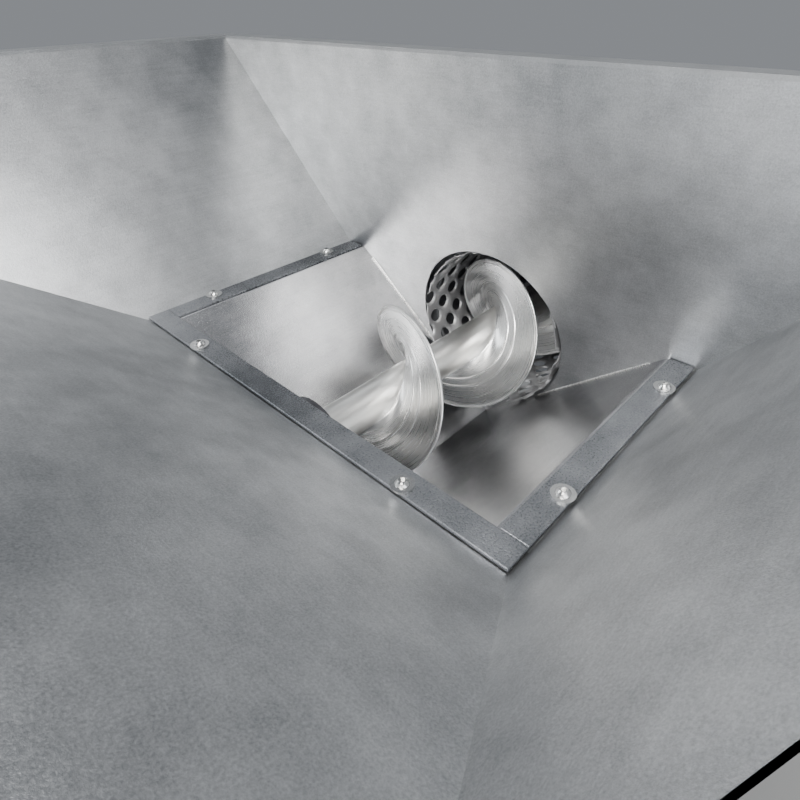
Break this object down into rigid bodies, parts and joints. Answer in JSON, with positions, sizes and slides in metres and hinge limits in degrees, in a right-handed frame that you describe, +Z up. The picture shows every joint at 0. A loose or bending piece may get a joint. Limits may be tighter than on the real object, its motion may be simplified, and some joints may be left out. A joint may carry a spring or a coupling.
{
  "type": "grain auger",
  "caption": "Bottom-fed grain auger: sheet hopper over a V trough, a left-hand screw on a tube, and a perforated cleaning screen in a casing with dust chute and spout.",
  "frame": {"origin": "on the auger axis, halfway along the drive journal", "axes": "+X along the auger from the drive end to the discharge end, +Z up, +Y to the left seen along +X"},
  "size_m": [1.0678, 0.7936, 0.6775],
  "materials": {
    "hopper_sheet": "fine-grained rolled sheet, satin",
    "strip_steel": "grained bar with rounded, rubbed edges",
    "trough_sheet": "rolled sheet worn bright by grain",
    "rim_steel": "satin",
    "flight_steel": "bright, worn by grain",
    "shaft_steel": "satin tube",
    "screen_steel": "dimpled perforated sheet",
    "casing_steel": "satin sheet",
    "frame_paint": "grey enamel",
    "bearing_cast": "painted casting",
    "bearing_steel": "ground",
    "seal_collar": "dark, oily",
    "rubber_black": "matt",
    "screw_steel": "bright stainless",
    "zinc_fastener": "zinc plated"
  },
  "bodies": {
    "frame": {"bearing_bolts": "zinc_fastener", "bearing_nuts": "zinc_fastener", "brace_head": "frame_paint", "brace_left": "frame_paint", "brace_right": "frame_paint", "brace_tail": "frame_paint", "casing_bolts": "zinc_fastener", "casing_nuts": "zinc_fastener", "cleaning_screen": "screen_steel", "discharge_housing": "casing_steel", "discharge_spout": "casing_steel", "dust_chute": "casing_steel", "end_plate": "frame_paint", "flange_gasket": "rubber_black", "foot_pads": "rubber_black", "frame_bolts": "zinc_fastener", "frame_nuts": "zinc_fastener", "frame_rail_left": "frame_paint", "frame_rail_right": "frame_paint", "head_bearing_balls": "bearing_steel", "head_bearing_housing": "bearing_cast", "head_bearing_outer_race": "bearing_steel", "hold_down_strip_left": "strip_steel", "hold_down_strip_right": "strip_steel", "hold_down_strip_tail": "strip_steel", "hopper_head_wall": "hopper_sheet", "hopper_left_wall": "hopper_sheet", "hopper_right_wall": "hopper_sheet", "hopper_tail_wall": "hopper_sheet", "leg_head_left": "frame_paint", "leg_head_right": "frame_paint", "leg_tail_left": "frame_paint", "leg_tail_right": "frame_paint", "rim_angle_head": "rim_steel", "rim_angle_left": "rim_steel", "rim_angle_right": "rim_steel", "rim_angle_tail": "rim_steel", "screen_casing": "casing_steel", "screen_rings": "casing_steel", "strip_nuts": "zinc_fastener", "strip_screws": "screw_steel", "strip_washers": "screw_steel", "tail_bearing_balls": "bearing_steel", "tail_bearing_housing": "bearing_cast", "tail_bearing_outer_race": "bearing_steel", "tail_bearing_plate": "frame_paint", "tail_seal": "rubber_black", "tail_seal_housing": "seal_collar", "trough_left_panel": "trough_sheet", "trough_right_panel": "trough_sheet", "trough_tail_plate": "trough_sheet"},
    "auger": {"auger_tube": "shaft_steel", "flighting": "flight_steel", "drive_stub_shaft": "shaft_steel", "head_stub_shaft": "shaft_steel", "stub_bolts": "zinc_fastener", "stub_nuts": "zinc_fastener", "tail_bearing_inner_race": "bearing_steel", "head_bearing_inner_race": "bearing_steel"}
  },
  "joints": [
    {"name": "auger_spin", "type": "hinge", "parent": "frame", "child": "auger", "pos_m": [0, 0, 0], "axis": [1, 0, 0], "continuous": true}
  ]
}
